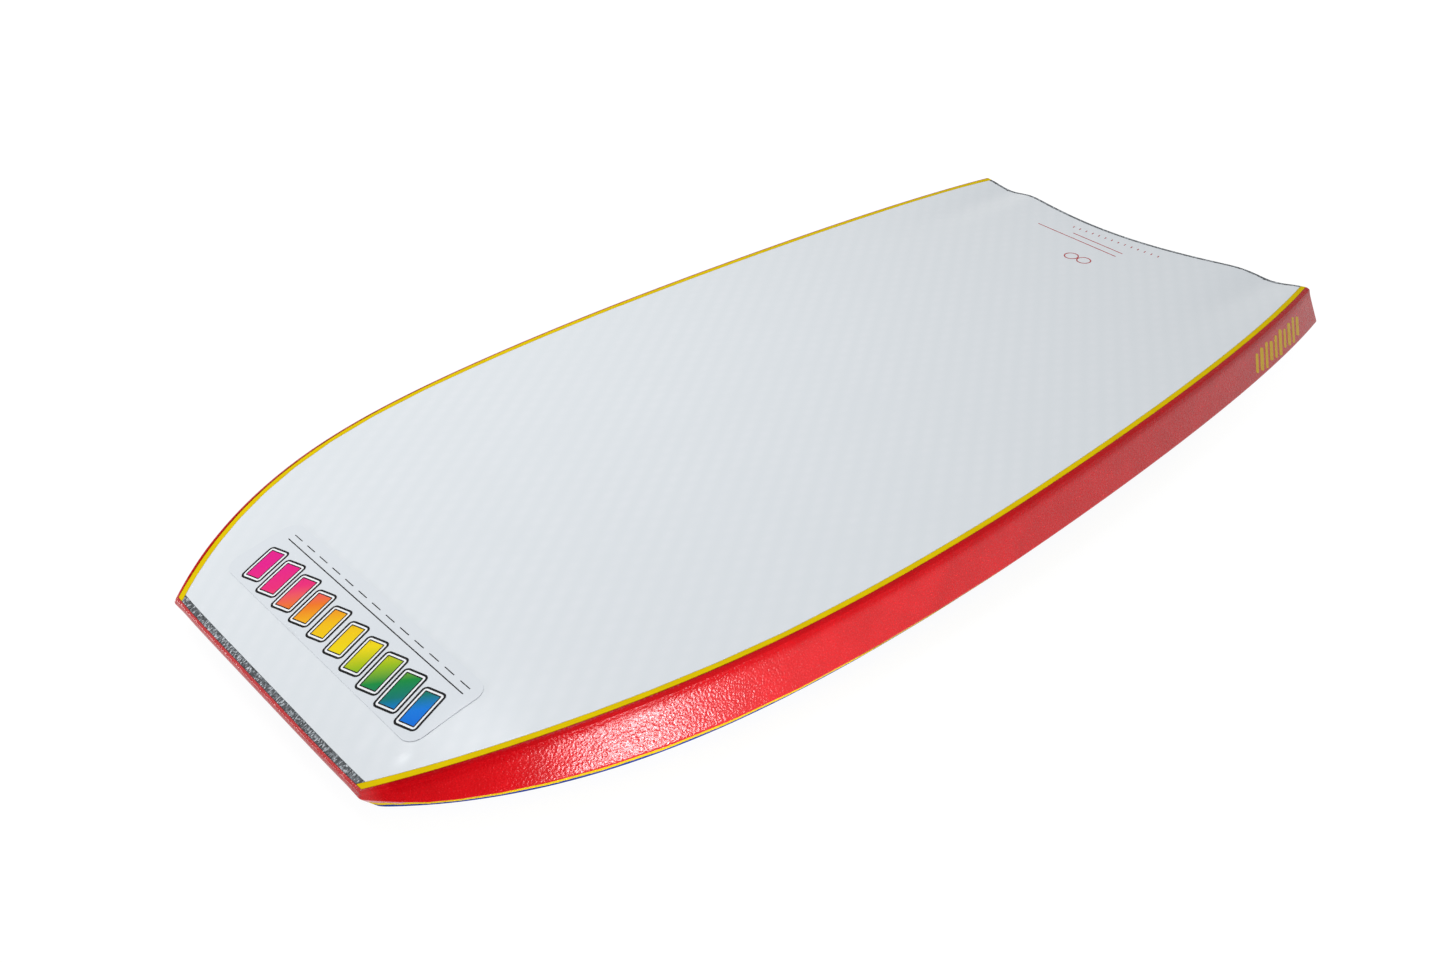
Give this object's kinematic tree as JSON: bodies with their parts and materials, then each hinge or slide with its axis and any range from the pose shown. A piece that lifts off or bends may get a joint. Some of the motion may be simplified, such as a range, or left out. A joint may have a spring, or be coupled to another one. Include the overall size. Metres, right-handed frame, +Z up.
{
  "type": "bodyboard",
  "caption": "Laminated prone wave-riding board: flat foam deck, hard slick skin with channels, upturned thin nose, coloured rails and crescent tail.",
  "frame": {"origin": "middle of the board's outline on the floor, at the deck face that it lies on", "axes": "+Z up through the slick face, +Y from the nose to the tail, +X across the board"},
  "size_m": [0.5404, 1.0654, 0.0592],
  "materials": {
    "core_foam": "closed-cell foam",
    "deck_foam": "fine pebbled foam skin",
    "mesh": "open woven plastic net",
    "backing_foam": "closed-cell foam",
    "slick": "smooth hard plastic skin",
    "yellow_foam": "closed-cell foam",
    "red_foam": "closed-cell foam with a sealed skin",
    "charcoal_foam": "closed-cell foam",
    "label_film": "printed clear film",
    "carbon": "woven carbon tube",
    "plug_plastic": "moulded plastic"
  },
  "bodies": {
    "root": {"core": "core_foam", "deck_skin": "deck_foam", "mesh_sheet": "mesh", "slick_backing": "backing_foam", "slick_skin": "slick", "nose_strip": "charcoal_foam", "tail_strip": "charcoal_foam", "outer_rail": "red_foam", "inner_rail_right": "yellow_foam", "inner_rail_left": "yellow_foam", "nose_label": "label_film", "stringer_right": "carbon", "stringer_left": "carbon", "stringer_front_plug_right": "plug_plastic", "stringer_front_plug_left": "plug_plastic", "stringer_rear_plug_right": "plug_plastic", "stringer_rear_plug_left": "plug_plastic"}
  },
  "joints": []
}
